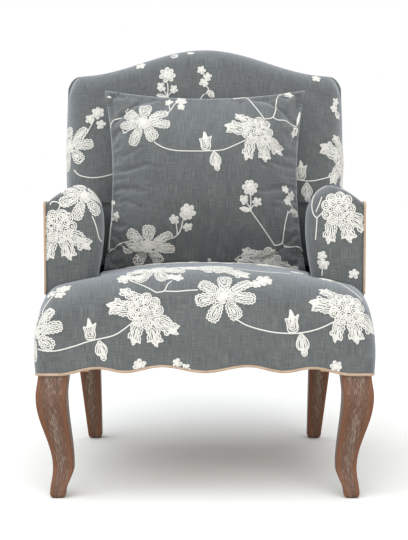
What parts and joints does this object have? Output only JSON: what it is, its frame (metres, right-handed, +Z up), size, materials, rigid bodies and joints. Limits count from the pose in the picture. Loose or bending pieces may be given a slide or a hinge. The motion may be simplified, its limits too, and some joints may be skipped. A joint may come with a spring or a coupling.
{
  "type": "accent chair",
  "caption": "Upholstered accent chair with a camel back, wrapped arms, cream piping, a scalloped seat edge, cabriole front legs and a matching throw pillow.",
  "frame": {"origin": "middle of the chair's bounding box, on the floor", "axes": "+X to the right as seen from the front, +Y towards the back, +Z up"},
  "size_m": [0.6978, 0.7482, 0.961],
  "materials": {
    "upholstery_fabric": "slub linen weave, matte, embroidered in off-white cotton",
    "piping_cotton": "plain cotton over cord, matte",
    "washed_oak": "grey-washed oak, satin",
    "frame_wood": "planed, unfinished",
    "foam": "upholstery foam, matte",
    "felt": "needled felt, matte",
    "webbing": "woven band, matte",
    "black_cloth": "thin lining cloth, matte",
    "pillow_filling": "filled cotton case, matte",
    "spring_steel": "drawn wire",
    "zinc_steel": "zinc-plated",
    "glide_plastic": "brown, satin"
  },
  "bodies": {
    "chair": {"seat_cover": "upholstery_fabric", "seat_side_panels": "upholstery_fabric", "inside_back_cover": "upholstery_fabric", "outside_back_panel": "upholstery_fabric", "left_arm_cover": "upholstery_fabric", "right_arm_cover": "upholstery_fabric", "left_outside_arm_panel": "upholstery_fabric", "right_outside_arm_panel": "upholstery_fabric", "seat_piping": "piping_cotton", "left_arm_piping": "piping_cotton", "right_arm_piping": "piping_cotton", "left_front_leg": "washed_oak", "right_front_leg": "washed_oak", "left_rear_leg": "washed_oak", "right_rear_leg": "washed_oak", "front_rail": "frame_wood", "left_side_rail": "frame_wood", "right_side_rail": "frame_wood", "rear_rail": "frame_wood", "corner_blocks": "frame_wood", "left_back_post": "frame_wood", "right_back_post": "frame_wood", "crest_rail": "frame_wood", "lower_back_rail": "frame_wood", "left_arm_post": "frame_wood", "right_arm_post": "frame_wood", "left_arm_rail": "frame_wood", "right_arm_rail": "frame_wood", "left_arm_liner": "frame_wood", "right_arm_liner": "frame_wood", "edge_roll": "foam", "rail_padding": "foam", "seat_foam": "foam", "back_foam": "foam", "left_arm_foam": "foam", "right_arm_foam": "foam", "left_arm_front_pad": "foam", "right_arm_front_pad": "foam", "spring_cover": "felt", "back_webbing": "webbing", "dust_cover": "black_cloth", "seat_springs": "spring_steel", "spring_clips": "spring_steel", "spring_tie_wires": "spring_steel", "leg_bolts": "zinc_steel", "leg_washers": "zinc_steel", "leg_nuts": "zinc_steel", "glides": "glide_plastic"},
    "pillow": {"pillow_cover": "upholstery_fabric", "pillow_insert": "pillow_filling"}
  },
  "joints": [
    {"name": "pillow_lift", "type": "slide", "parent": "chair", "child": "pillow", "axis": [0, 0, 1], "range_m": [0, 0.5]}
  ]
}
